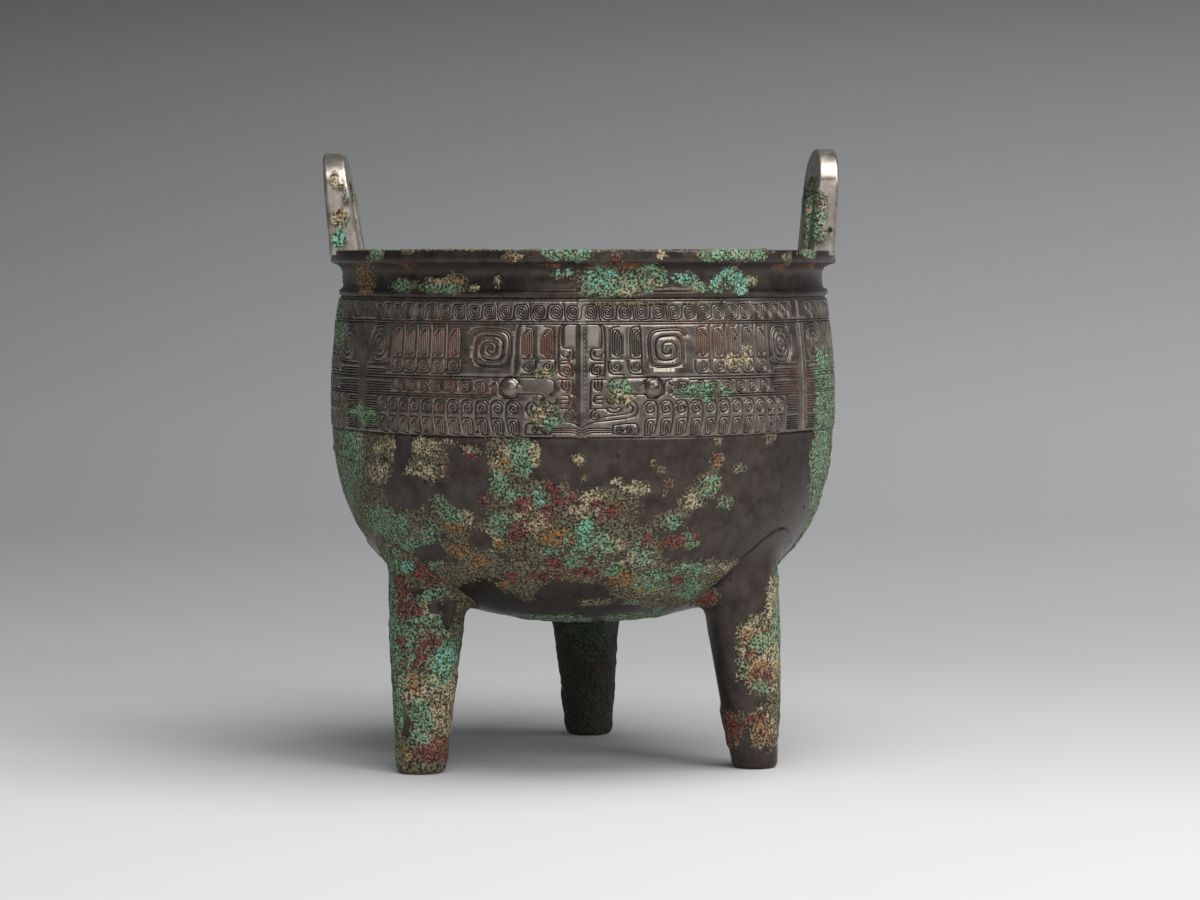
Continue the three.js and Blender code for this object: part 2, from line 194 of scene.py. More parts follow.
# Corrosion. Each patch is (across, height, half width, half height) on one face of the vessel, in mm.
corrosion = {
    "crust": [
        (-24, 107, 7, 8), (-24, 97, 6, 5), (-14.5, 95.5, 5, 5), (-20, 91, 9, 6), (-9, 93, 9, 7),
        (3, 91, 9, 5), (9, 93.5, 8, 5), (13, 95.5, 4.5, 3.5), (18.5, 98, 5, 2.2), (11.5, 101, 2.2, 1.6),
        (-1.1, 107.5, 2.6, 2), (0.9, 102, 1.6, 0.8), (-14.8, 111, 1.6, 2.6), (-15.2, 106.5, 1.6, 1.4),
        (-6, 84, 20, 9), (10, 82, 12, 8), (19, 78, 6, 8), (-24, 84, 10, 9), (-45, 88, 8, 7),
        (-41.5, 84, 6, 6), (-41.5, 77, 7, 4), (-55, 84, 9, 8), (-62, 80, 8, 10), (-52, 104, 8, 5),
        (-50.5, 111, 5, 3.5), (-44, 112.5, 3, 1.5), (-36, 110, 3, 2), (-64, 110, 4, 4.5),
        (-67.5, 102, 3.5, 4), (-71, 98, 6, 14), (-79, 106, 5, 15), (-70, 86, 8, 10), (-60, 68, 9, 9),
        (-30, 70, 14, 5), (-33.4, 73, 9, 6), (-12, 72, 14, 6), (-20, 66, 10, 5), (2, 74, 10, 6),
        (14, 70, 12, 6), (22, 66, 14, 7), (30, 62, 16, 7), (3, 58.5, 6, 1.6), (44, 106, 2, 2.5),
        (41.5, 99.7, 4, 3.5), (37.3, 94.3, 4, 4), (34, 91, 3.5, 3), (28.5, 86, 5.5, 3.5),
        (34.9, 80.7, 4, 3.5), (30, 80, 4, 2.5), (46.9, 92.7, 2.6, 2.4), (23.2, 106.3, 1.1, 1.1),
        (25.7, 103.8, 1.3, 1.3), (28, 99.7, 1.5, 1.4), (26.5, 96.4, 1.4, 1.1), (44, 113, 1.6, 1.1),
        (52, 104, 1.9, 1.5), (62.4, 113.5, 1.9, 1.9), (40, 69, 10, 4), (49, 71, 6, 2), (81, 100, 4, 22),
        (-46, 68, 8, 5), (-34, 93.5, 4, 1.6), (-8, 50, 12, 3), (18, 51, 12, 3), (-7, 167.5, 5, 2.2),
        (9, 165, 13, 5.5), (22, 165.8, 9, 4.4), (33, 166, 5, 2.7), (37.5, 163.5, 3, 2.2), (43.6, 165, 1.8, 2),
        (48, 166, 4.7, 3.6), (51.5, 162.5, 2.4, 2.2), (56, 165.5, 2.8, 1.7), (-49, 164, 3.4, 2.4),
        (-42, 164.2, 4.7, 2.8), (-59, 163.6, 5, 2), (-35, 163, 1.9, 1.5), (-27.5, 165.3, 1.5, 2.2),
        (-73, 166, 4, 6), (-68, 174, 2.4, 1.9), (-57.5, 174.8, 1.8, 1), (-22, 173, 4, 1.6), (-6, 174, 9, 2.6),
        (11, 172.6, 2, 1.2), (26, 173.6, 2.2, 1.8), (20, 175.6, 20, 0.8), (41, 173.6, 4.5, 2.2),
        (51, 174.5, 12, 3.2), (68, 173, 2, 2.4), (76, 174.4, 3.5, 1.8), (-40, 175.7, 20, 0.5),
    ],
    "red": [
        (-10, 98, 3.2, 3.2), (-4.3, 95, 3.2, 3.2), (-1.2, 98.7, 1.8, 1.4), (-12.3, 90.5, 4.4, 4.6),
        (-8, 92.7, 3, 2.5), (-18.3, 93, 4, 3.6), (8.5, 91, 5.5, 3), (3.8, 93, 2, 1.4), (-9.5, 73, 4, 3),
        (1.7, 74.5, 2.6, 1.8), (-12.4, 68.5, 6, 2.4), (0.9, 70, 5, 1.8), (20.9, 80.2, 2.6, 4),
        (-20.7, 84, 3.6, 3.6), (-22.3, 67.5, 3, 2), (-38, 104, 7, 7), (-34, 93.5, 5, 1.8), (28, 99.7, 2, 2),
        (30, 80.5, 5, 3), (44, 107.5, 2, 1.5), (38, 81, 2, 3), (31, 67, 3, 2), (-5, 164.7, 3, 2),
        (11, 172.6, 2.4, 1.4), (19, 172.3, 2.4, 1), (30, 172.2, 3, 1.2),
    ],
    "green": [
        (-20, 108, 4.5, 6.5), (-27, 100, 5, 4), (-24, 96, 4, 3), (-14.3, 95.5, 4.4, 4.4), (-26, 86, 5, 4),
        (2, 82.8, 7, 5), (-2.7, 76, 5.5, 4.5), (4, 79, 7, 5), (19.7, 76.3, 4, 5), (9.3, 70.6, 4, 2.4),
        (17.7, 58, 3, 1.6), (-11.5, 76, 5, 3), (-46.2, 92.5, 3.6, 3), (-43, 89, 4, 3), (-79, 106, 6, 18),
        (-58, 72, 12, 10), (41.5, 98, 3, 4), (30, 87, 3, 2.5), (35, 80.5, 3.4, 2.6), (46.9, 92.7, 2.2, 2.2),
        (36, 70, 6, 2.5), (81, 100, 5, 22), (-65, 84, 8, 8), (24, 66, 8, 4), (36, 63, 6, 4), (-51, 80, 6, 5),
        (5, 53, 30, 4), (22, 165.8, 10, 5), (37, 164, 5, 3), (48, 165, 7, 5), (8, 162.8, 8, 3),
        (-5, 174, 9, 3), (51, 174.4, 12, 3.4), (-45, 162.6, 8, 1.6), (-68, 174, 3, 2), (-59, 163.6, 4, 2),
        (76, 174, 4, 2), (41, 173, 4, 2),
    ],
    "tan": [
        (-22, 110, 5, 3), (-28, 104, 2.5, 4), (-17, 88, 7, 5), (2, 91, 7, 2.5), (18, 97.8, 6, 2.6),
        (11.5, 101, 2.6, 1.8), (-1.1, 107.5, 2.6, 2), (-14.8, 110, 2, 4), (3, 96, 5, 2), (10, 79.5, 6, 2.6),
        (18, 74, 5, 3), (-50.5, 111, 5, 3.4), (-52, 103, 7, 3.5), (-65, 110, 4, 4), (-68, 102, 3, 4),
        (-38, 88, 3, 3), (-30, 81, 4, 3), (42, 99, 3, 3), (36, 93, 3.5, 3), (47, 70, 8, 1.8),
        (28, 102, 1.5, 1.5), (-44, 113, 3, 1.6), (-38, 111, 2.5, 2), (-75, 110, 2, 5), (-44.5, 164.6, 6, 2.4),
        (14, 164, 5, 3), (24, 164, 4, 3), (38.5, 163, 2.6, 2), (56, 165.4, 3, 1.8), (-35, 163, 2, 1.6),
        (-27.5, 165.3, 1.6, 2.4), (48, 173.6, 7, 1.4), (26, 173.6, 2.4, 2), (-5, 164.7, 1.8, 1.1),
        (-18, 173, 3, 1.4),
    ],
    "ochre": [
        (-24.5, 106, 3, 3.6), (-41.5, 85, 2.8, 2.6), (-41, 77, 3.8, 3), (-33.4, 73, 3, 2.4),
        (-26.6, 79, 2, 2), (-8.3, 82, 7, 3), (-30, 66, 6, 1.6), (14, 67.5, 8, 2.6), (22, 63, 6, 2.5),
        (44.5, 106.5, 1.6, 1.6), (-41, 165, 2.4, 1.8), (-73, 165, 3, 5), (-22, 172.6, 2, 1), (48, 66, 4, 1.4),
    ],
    "blue": [
        (5, 166.5, 6.5, 3), (43.6, 165, 2.2, 2.4), (47, 167.5, 6, 2.2), (52, 163.6, 3, 3.6),
        (-7, 168.3, 6, 1.6), (33, 166.6, 5, 2), (1, 84, 3, 4), (-14, 95, 2.4, 2.4),
    ],
    "bare": [
        (-38.5, 96, 7, 6), (-33, 80, 4, 3.4), (-50.5, 75, 6, 3), (-57, 96, 6.5, 5.5), (-5, 61.5, 10, 4.6),
        (-60, 108, 2.6, 7)
    ],
}
# the hidden sides repeat the front's patches: degrees round, then a shift across and up
faceTurns = [(0, 0, 0), (124, 6, -4), (-118, -9, 3), (176, 14, 6)]


def patchMask(points, patches, everywhere=True):  # 1 in the middle of a patch, 0 at its edge, less outside it
    mask = np.full(len(points), -1.0)
    for turn, across, up in faceTurns if everywhere else faceTurns[:1]:
        angle = math.radians(turn)
        side = points[:, 0] * math.cos(angle) + points[:, 1] * math.sin(angle)
        facing = points[:, 0] * math.sin(angle) - points[:, 1] * math.cos(angle) > (0 if turn == 0 else 18)
        if turn:
            facing &= points[:, 1] > -14
        if not everywhere:
            facing |= True  # a small piece takes its patches all round
        for x, z, width, height in patches:
            reach = ((side - x - across) / width) ** 2 + ((points[:, 2] - z - up) / height) ** 2
            mask = np.where(facing, np.maximum(mask, 1 - np.sqrt(reach)), mask)
    return mask


def corrode(points, amount, patches=corrosion, hidden=True):  # soft fields, crumbled by the material
    rough = fractal(points, 6, 4, 11)
    broad = fractal(points, 22, 3, 5)
    crust = patchMask(points, patches["crust"], hidden)
    if "bare" in patches:
        crust = crust - 1.6 * np.clip(patchMask(points, patches["bare"], hidden) + 0.1, 0, 1)
    paints = {"crust": np.clip(np.clip(crust, -0.75, 0.6) + 0.42 * rough + 0.2 * broad + amount, -1, 1)}
    for seed, name in enumerate(("red", "green", "tan", "ochre", "blue")):
        mask = np.clip(patchMask(points, patches.get(name, []), hidden), -0.45, 0.3)
        paints[name] = np.clip(mask + 0.25 * fractal(points, 5, 3, 60 + 9 * seed), -1, 1)
    return paints


def crustHeight(points, crust, tall=0.55):
    lumps = 0.5 + 0.5 * fractal(points, 2.6, 3, 90)
    return smoothStep(-0.06, 0.22, crust) * tall * (0.2 + lumps)


# Materials


def linear(code):  # an sRGB hex colour as linear light
    parts = [int(code[k : k + 2], 16) / 255 for k in (1, 3, 5)]
    return tuple(c / 12.92 if c < 0.04045 else ((c + 0.055) / 1.055) ** 2.4 for c in parts) + (1.0,)


def addNode(tree, kind, inputs=None, output=0, **settings):  # adds a node and gives back one of its outputs
    made = tree.nodes.new("ShaderNode" + kind)
    for name, value in settings.items():
        setattr(made, name, value)
    for socket, value in (inputs or {}).items():
        if isinstance(value, bpy.types.NodeSocket):
            tree.links.new(value, made.inputs[socket])
        else:
            made.inputs[socket].default_value = value
    return made.outputs[output] if made.outputs else made


# Tin bronze, cast in clay moulds and rubbed smooth: a dark grey-brown skin with a soft metal sheen.
# Corrosion has grown on it in crumbs, so it turns matt, grainy and green, tan or red by places.
castBronze = {
    "skin": ("#38312d", "#554d47"),
    "skinRoughness": (0.27, 0.42),
    "metallic": 0.88,
    "groove": ("#0d0a09", "#231510"),  # soil at the bottom of the carving, also laid under the lip as painted shade
    "rust": ("#5a2c17", "#9a5c30"),  # the same where it is rich in iron
    "crust": ("#2b271f", "#7b7256"),
    "layers": [  # painted field, dark and light colours, mm across a patch of crumbs
        ("tan", ("#7f6f50", "#cbbb98"), 1.8),
        ("ochre", ("#6a4423", "#a87c46"), 1.6),
        ("green", ("#35573f", "#86ad88"), 2.2),
        ("red", ("#471b1a", "#823632"), 1.8),
        ("blue", ("#34836b", "#93ccb4"), 2.4),
    ],
    "gap": "#15110d",  # between the crumbs
    "pit": "#17110f",
    "crumb": 0.75,  # mm, drawn at twice the real grain so that it still shows
    "lump": 2.4,  # mm
    "blotch": 5.0,  # mm, clouds in the skin's colour
    "pitPitch": 4.2,  # mm between corrosion pits in the bare skin
    "casting": 0.5,  # mm, the skin's fine unevenness
    "bump": 0.00024,  # m
    "paintedShade": 0.0,  # how far the whole piece is darkened as painted shade
}


def corrodedBronze(name, changes=None):
    look = {**castBronze, **(changes or {})}
    material = bpy.data.materials.new(name)
    material.use_nodes = True
    tree = material.node_tree
    tree.nodes.clear()
    place = addNode(tree, "TexCoord", output="Object")
    clouds = {}
    for part, detail in (("crumb", 3.0), ("lump", 4.0), ("blotch", 5.0), ("casting", 2.0)):
        sockets = {"Vector": place, "Scale": 1 / (look[part] * mm), "Detail": detail, "Roughness": 0.6}
        clouds[part] = addNode(tree, "TexNoise", sockets)
    fields = {}
    for paint in ("crust", "soilAndShade", "rust", *(layer[0] for layer in look["layers"])):
        fields[paint] = addNode(tree, "Attribute", output="Fac", attribute_name=paint)

    # the crust's ragged edge: its painted field, shaken by lumps and crumbs
    shaken = addNode(tree, "Math", {0: clouds["crumb"], 1: 1.5, 2: -1.45}, operation="MULTIPLY_ADD")
    shaken = addNode(tree, "Math", {0: clouds["lump"], 1: 1.4, 2: shaken}, operation="MULTIPLY_ADD")
    edge = addNode(tree, "Math", {0: fields["crust"], 1: shaken}, operation="ADD")
    cover = addNode(tree, "MapRange", {"Value": edge, "From Min": -0.05, "From Max": 0.07})

    # bare skin, with clouds and scattered pits
    blotch = addNode(tree, "MapRange", {"Value": clouds["blotch"], "From Min": 0.3, "From Max": 0.7})
    tones = {0: blotch, 6: linear(look["skin"][0]), 7: linear(look["skin"][1])}
    skin = addNode(tree, "Mix", tones, 2, data_type="RGBA")
    cells = {"Vector": place, "Scale": 1 / (look["pitPitch"] * mm)}
    apart = addNode(tree, "TexVoronoi", cells, "Distance")
    own = addNode(tree, "SeparateColor", {"Color": addNode(tree, "TexVoronoi", cells, "Color")})
    reach = addNode(tree, "Math", {0: own, 1: 0.3, 2: apart}, operation="MULTIPLY_ADD")
    reach = addNode(tree, "Math", {0: clouds["crumb"], 1: 0.25, 2: reach}, operation="MULTIPLY_ADD")
    pits = addNode(tree, "MapRange", {"Value": reach, "From Min": 0.34, "From Max": 0.26})
    skin = addNode(tree, "Mix", {0: pits, 6: skin, 7: linear(look["pit"])}, 2, data_type="RGBA")

    # soil in the carving, browner where it has rusted; the same colour is laid under the lip as painted shade
    grain = addNode(tree, "MapRange", {"Value": clouds["crumb"], "From Min": 0.38, "From Max": 0.62})
    tones = {0: grain, 6: linear(look["groove"][0]), 7: linear(look["groove"][1])}
    soilAndShade = addNode(tree, "Mix", tones, 2, data_type="RGBA")
    tones = {0: grain, 6: linear(look["rust"][0]), 7: linear(look["rust"][1])}
    rusty = addNode(tree, "Mix", tones, 2, data_type="RGBA")
    iron = addNode(tree, "Math", {0: fields["rust"], 1: shaken}, operation="ADD")
    iron = addNode(tree, "MapRange", {"Value": iron, "From Min": -0.1, "From Max": 0.35})
    soilAndShade = addNode(tree, "Mix", {0: iron, 6: soilAndShade, 7: rusty}, 2, data_type="RGBA")
    skin = addNode(tree, "Mix", {0: fields["soilAndShade"], 6: skin, 7: soilAndShade}, 2, data_type="RGBA")

    # crust: olive crumbs with patches of each corrosion product, and dark gaps between the crumbs
    tones = {0: grain, 6: linear(look["crust"][0]), 7: linear(look["crust"][1])}
    crust = addNode(tree, "Mix", tones, 2, data_type="RGBA")
    for number, (paint, (dark, light), size) in enumerate(look["layers"]):
        sockets = {
            "Vector": place, "W": 3.7 * number + 1, "Scale": 1 / (size * mm), "Detail": 4.0, "Roughness": 0.7
        }
        spread = addNode(tree, "TexNoise", sockets, noise_dimensions="4D")
        wanted = addNode(tree, "Math", {0: spread, 1: 3.4, 2: fields[paint]}, operation="MULTIPLY_ADD")
        sockets = {"Value": wanted, "From Min": 1.72, "From Max": 1.95, "To Max": 0.85}
        share = addNode(tree, "MapRange", sockets)
        tone = addNode(tree, "Mix", {0: grain, 6: linear(dark), 7: linear(light)}, 2, data_type="RGBA")
        crust = addNode(tree, "Mix", {0: share, 6: crust, 7: tone}, 2, data_type="RGBA")
    sockets = {"Value": clouds["crumb"], "From Min": 0.53, "From Max": 0.43, "To Max": 0.85}
    gaps = addNode(tree, "MapRange", sockets)
    crust = addNode(tree, "Mix", {0: gaps, 6: crust, 7: linear(look["gap"])}, 2, data_type="RGBA")

    colour = addNode(tree, "Mix", {0: cover, 6: skin, 7: crust}, 2, data_type="RGBA")
    # painted shade: the whole colour is pulled towards the dark gap colour
    if look["paintedShade"]:
        sockets = {0: look["paintedShade"], 6: colour, 7: linear(look["gap"])}
        colour = addNode(tree, "Mix", sockets, 2, data_type="RGBA")
    matt = addNode(tree, "Math", {0: cover, 1: fields["soilAndShade"]}, operation="MAXIMUM")
    matt = addNode(tree, "Math", {0: matt, 1: pits}, operation="MAXIMUM")
    low, high = look["skinRoughness"]
    sockets = {"Value": clouds["blotch"], "From Min": 0.3, "From Max": 0.7, "To Min": low, "To Max": high}
    rough = addNode(tree, "MapRange", sockets)
    rough = addNode(tree, "Math", {0: matt, 1: 0.5, 2: rough}, operation="MULTIPLY_ADD", use_clamp=True)
    metal = addNode(tree, "MapRange", {"Value": matt, "To Min": look["metallic"], "To Max": 0.0})
    height = addNode(tree, "Math", {0: clouds["crumb"], 1: clouds["lump"]}, operation="ADD")
    height = addNode(tree, "Math", {0: height, 1: cover}, operation="MULTIPLY")
    height = addNode(tree, "Math", {0: clouds["casting"], 1: 0.08, 2: height}, operation="MULTIPLY_ADD")
    height = addNode(tree, "Math", {0: pits, 1: -0.3, 2: height}, operation="MULTIPLY_ADD")
    normal = addNode(tree, "Bump", {"Height": height, "Strength": 0.9, "Distance": look["bump"]})
    sockets = {"Base Color": colour, "Roughness": rough, "Metallic": metal, "Normal": normal}
    shader = addNode(tree, "BsdfPrincipled", sockets)
    addNode(tree, "OutputMaterial", {"Surface": shader})
    return material


# The bowl: one closed skin from the middle of the underside, over the lip and down to the inside floor


def superellipse(radius, depth, last, count):  # a rounded underside, from the axis up to the last height
    top = math.asin(((bowl["widest"] - last) / depth) ** (bowl["bellyPower"] / 2))
    turn = np.linspace(math.pi / 2, top, count)
    across = radius * np.clip(np.cos(turn), 0, 1) ** (2 / bowl["bellyPower"])
    return np.stack((across, bowl["widest"] - depth * np.sin(turn) ** (2 / bowl["bellyPower"])), axis=1)


def bowlProfile():
    low, high = bowl["bandBottom"], bowl["bandTop"]
    sunk = 1.3  # the wall lies back under the carved band
    radius = lambda height: float(bowlRadius(height))
    top = bowl["lipTop"]
    lip = bowl["lipRadius"]
    mouth = bowl["mouthRadius"]
    underside = superellipse(bowl["bellyRadius"], bowl["bellyDepth"], low - 1.5, 400)
    edge = [
        (radius(low - 1.3), low - 1.3), (radius(low - 1.1) - 0.15, low - 1.1),
        (radius(low) - 0.75, low - 0.65), (radius(low) - sunk, low + 0.2),
    ]
    wall = [(radius(height) - sunk, height) for height in np.linspace(low + 2, high - 2, 12)]
    neck = [
        (radius(high) - sunk, high - 1), (radius(high) - 0.75, high - 0.65),
        (radius(high) - 0.1, high - 0.05), (84.1, 160.5), (84.35, 161.2), (84.15, 161.8), (83.5, 162.2),
        (83.05, 162.6), (82.8, 163.4), (82.6, 165), (82.55, 166.6), (82.75, 168), (83.4, 169.3),
        (84.6, 170.3), (86, 170.9),
    ]
    rim = [
        (lip - 0.35, 171.15), (lip, 171.6), (lip, 173.2), (lip, top - 0.8), (lip - 0.25, top - 0.25),
        (lip - 0.9, top), (lip - 3, top - 0.05), (mouth + 1.4, top - 0.1), (mouth + 0.4, top - 0.35),
        (mouth, top - 1), (mouth - 0.05, top - 3),
    ]
    inside = [(mouth, height) for height in (168, 163)]
    inside += [(radius(height) - bowl["wall"], height) for height in np.linspace(160, bowl["widest"], 12)]
    floor = superellipse(
        bowl["bellyRadius"] - bowl["wall"], bowl["bellyDepth"] - bowl["floor"], bowl["widest"], 400
    )
    parts = [
        resample(underside, bowl["step"]), np.array(edge), np.array(wall), np.array(neck), np.array(rim),
        resample(inside, 3), resample(floor[::-1], 3)[1:],
    ]
    return np.concatenate(parts)


def makeBowl(material):
    profile = bowlProfile()[1:-1]
    columns = bowl["columns"]
    angle = np.linspace(0, 2 * math.pi, columns, endpoint=False)[None, :]
    height = profile[:, 1][:, None]
    points = around(angle, profile[:, 0][:, None] * lobing(angle, height), height).reshape(-1, 3)
    radial = np.stack((np.sin(angle), -np.cos(angle)), axis=-1) + 0 * height[:, :, None]
    radial = radial.reshape(-1, 2)
    ring = np.repeat(np.arange(len(profile)), columns)
    inside = ring > np.argmax((profile[:, 0] < bowl["mouthRadius"] + 0.1) & (profile[:, 1] > 170))
    paints = corrode(points, 0.0)
    # painted shade: a dark band of the carving's soil colour under the overhanging lip, where its shadow
    # falls
    shadeUnderLip = smoothStep(168.6, 169.6, points[:, 2]) * (1 - smoothStep(170.6, 171.2, points[:, 2]))
    paints["soilAndShade"] = 0.9 * shadeUnderLip
    paints["rust"] = fractal(points, 12, 3, 52) - 0.2
    wobble = fractal(points, 38, 2, 3) * 0.2 + fractal(points, 7, 2, 8) * 0.04 - 0.3
    height = points[:, 2]
    underBand = (height > bowl["bandBottom"] - 1.2) & (height < bowl["bandTop"] + 0.2) & ~inside
    lift = np.where(underBand, 0, wobble + crustHeight(points, paints["crust"]))
    lift = np.where(inside, 0.5 * lift, lift)
    slope = np.gradient(profile, axis=0)
    normal = np.stack((slope[:, 1], -slope[:, 0]), axis=1)
    normal /= np.linalg.norm(normal, axis=1)[:, None]
    normal = np.repeat(normal, columns, axis=0)
    points[:, :2] += radial * (normal[:, :1] * lift[:, None])
    points[:, 2] += normal[:, 1] * lift
    faces = gridFaces(len(profile), columns)
    for start in (0, (len(profile) - 1) * columns):  # closes the middle of the underside and of the floor
        points = np.concatenate((points, [(0, 0, points[start : start + columns, 2].mean())]))
        for column in range(columns):
            pair = (start + column, start + (column + 1) % columns)
            faces.append((len(points) - 1,) + (pair[::-1] if start == 0 else pair))
    paints = {name: np.concatenate((values, (0, 0))) for name, values in paints.items()}
    return meshPiece("bowl", points, faces, material, paints)


# The carved band: a mask face on each lobe. Strokes are lines of (along, height) in mm, where along is
# measured on the bowl's skin from the middle of the lobe and is mirrored for the left half.
carving = {
    "stroke": 0.5,  # mm across the top of a stroke
    "bottom": 0.26,
    "depth": 0.62,  # mm
    "sample": 0.34,  # mm between points on a stroke
    "spirals": 30,
    "spiralPitch": math.pi * 87 / 48,
    "spiralRow": 155.3,
    "rules": (158.9, 152.2, 151.4),  # heights of the level lines
    "edge": 91.1,  # mm from the lobe's middle to the crease
    "eye": (23.4, 130.9, 2.95, 1.85),  # along, height, radius, rise
    "nose": (118.6, 151.2, 1.5, 0.55, 1.15),  # low, high, half widths of foot and crest, rise
    "cellPitch": 6.3,
}


def coil(along, height, half, turns, start=90, hand=1, square=2.6, core=0.1):
    halfAcross, halfUp = half
    count = int(60 * turns)
    share = np.linspace(0, 1, count)
    turn = math.radians(start) + hand * 2 * math.pi * turns * share
    power = 2 + (square - 2) * (1 - share)
    bulge = (np.abs(np.cos(turn)) ** power + np.abs(np.sin(turn)) ** power) ** (-1 / power)
    size = (1 - (1 - core) * share) * bulge
    return np.stack((along + halfAcross * size * np.cos(turn), height + halfUp * size * np.sin(turn)), axis=1)


def spiralPairs():  # the top row: running scrolls, two spirals to a scroll
    strokes = []
    pitch = carving["spiralPitch"]
    row = carving["spiralRow"]
    half = (2.25, 2.5)
    for i in range(carving["spirals"]):
        along = (i - (carving["spirals"] - 1) / 2) * pitch
        if i % 2 == 0:
            first = coil(along, row, half, 2.9, -90, -1, 2.9)[::-1]
            last = coil(along + pitch, row, half, 2.9, 90, -1, 2.9)
            gap = along + pitch / 2
            bends = [
                (gap - 0.5, row - 2.3), (gap - 0.1, row - 1.5), (gap + 0.1, row + 1.5), (gap + 0.5, row + 2.3)
            ]
            link = [first[-1], *bends, last[0]]
            strokes.append(np.concatenate((first[:-1], rounded(link, 2), last[1:])))
        else:
            gap = along + pitch / 2
            strokes.append(np.array([
                (gap - 0.5, row + 2.5), (gap - 0.15, row + 1.6), (gap + 0.15, row - 1.6),
                (gap + 0.5, row - 2.5)
            ]))
    return strokes


def featherStrokes(along, width, low, high, step=0.72):  # nested hooked lines, rounded away from the nose
    strokes = []
    count = max(2, int(width / step))
    for k in range(count + 1):
        at = along - width / 2 + k * width / count
        top = high - k * 0.62
        if k == 0:
            strokes.append(rounded([
                (at, low - 0.8), (at, top - 1.6), (at + 0.7, top - 0.2), (at + width * 0.75, top)
            ]))
        elif k < count:
            reach = min(1.9, along + width / 2 - at)
            strokes.append(rounded([
                (at, low + 0.5 * (k % 2)), (at, top - 1.2), (at + 0.5, top - 0.3),
                (at + reach, top - 0.3 - 0.25 * k)
            ]))
        else:
            strokes.append(np.array([(at, low + 0.2), (at, high - 3.6)]))
    middle = along + 0.1 * width
    strokes.append(rounded([
        (middle - 0.9, low + 1.2), (middle - 0.9, low - 0.3), (middle + 0.3, low - 0.6),
        (middle + 1, low + 0.3)
    ]))
    strokes.append(np.array([(along - width / 2 + 0.3, low - 1.35), (along + width / 2 + 0.2, low - 1.35)]))
    return strokes


def ruledPack(left, right, low, high, step=0.86):  # level lines joined in pairs at the left
    strokes = []
    count = int(round((high - low) / step))
    levels = np.linspace(low, high, count + 1)
    for k in range(0, count, 2):
        bottom, top = levels[k], levels[k + 1]
        strokes.append(rounded([
            (right, bottom), (left + 0.5, bottom), (left - 0.3, (bottom + top) / 2), (left + 0.5, top),
            (right, top)
        ]))
    return strokes


def lowerCell(along, high=127.2):  # a curl over a small hooked feather, leaning to the next cell
    strokes = [coil(along + 0.1, high - 2.9, (1.85, 1.85), 1.6, 95, 1, 2.5)]
    strokes.append(rounded([
        (along - 2.3, high - 1.4), (along - 1.2, high - 0.2), (along + 1.2, high - 0.1),
        (along + 2.35, high - 1.4), (along + 2.45, high - 4.6), (along + 2.0, high - 8.3),
        (along + 1.2, high - 10.9)
    ]))
    foot = high - 11
    strokes.append(rounded([
        (along - 1.9, foot), (along - 1.9, foot + 3.9), (along - 1.1, foot + 5), (along + 1.3, foot + 5.1)
    ]))
    strokes.append(rounded([
        (along - 1.05, foot + 0.6), (along - 1.05, foot + 3.4), (along - 0.4, foot + 4.15),
        (along + 0.9, foot + 4.1), (along + 1.2, foot + 3.2)
    ]))
    strokes.append(rounded(
        [(along - 0.2, foot + 0.3), (along - 0.2, foot + 2.6), (along + 0.2, foot + 3.2)], 1
    ))
    strokes.append(rounded([
        (along - 2.3, foot - 0.4), (along - 0.2, foot - 0.55), (along + 0.6, foot + 0.3),
        (along + 0.55, foot + 2.5)
    ]))
    return strokes


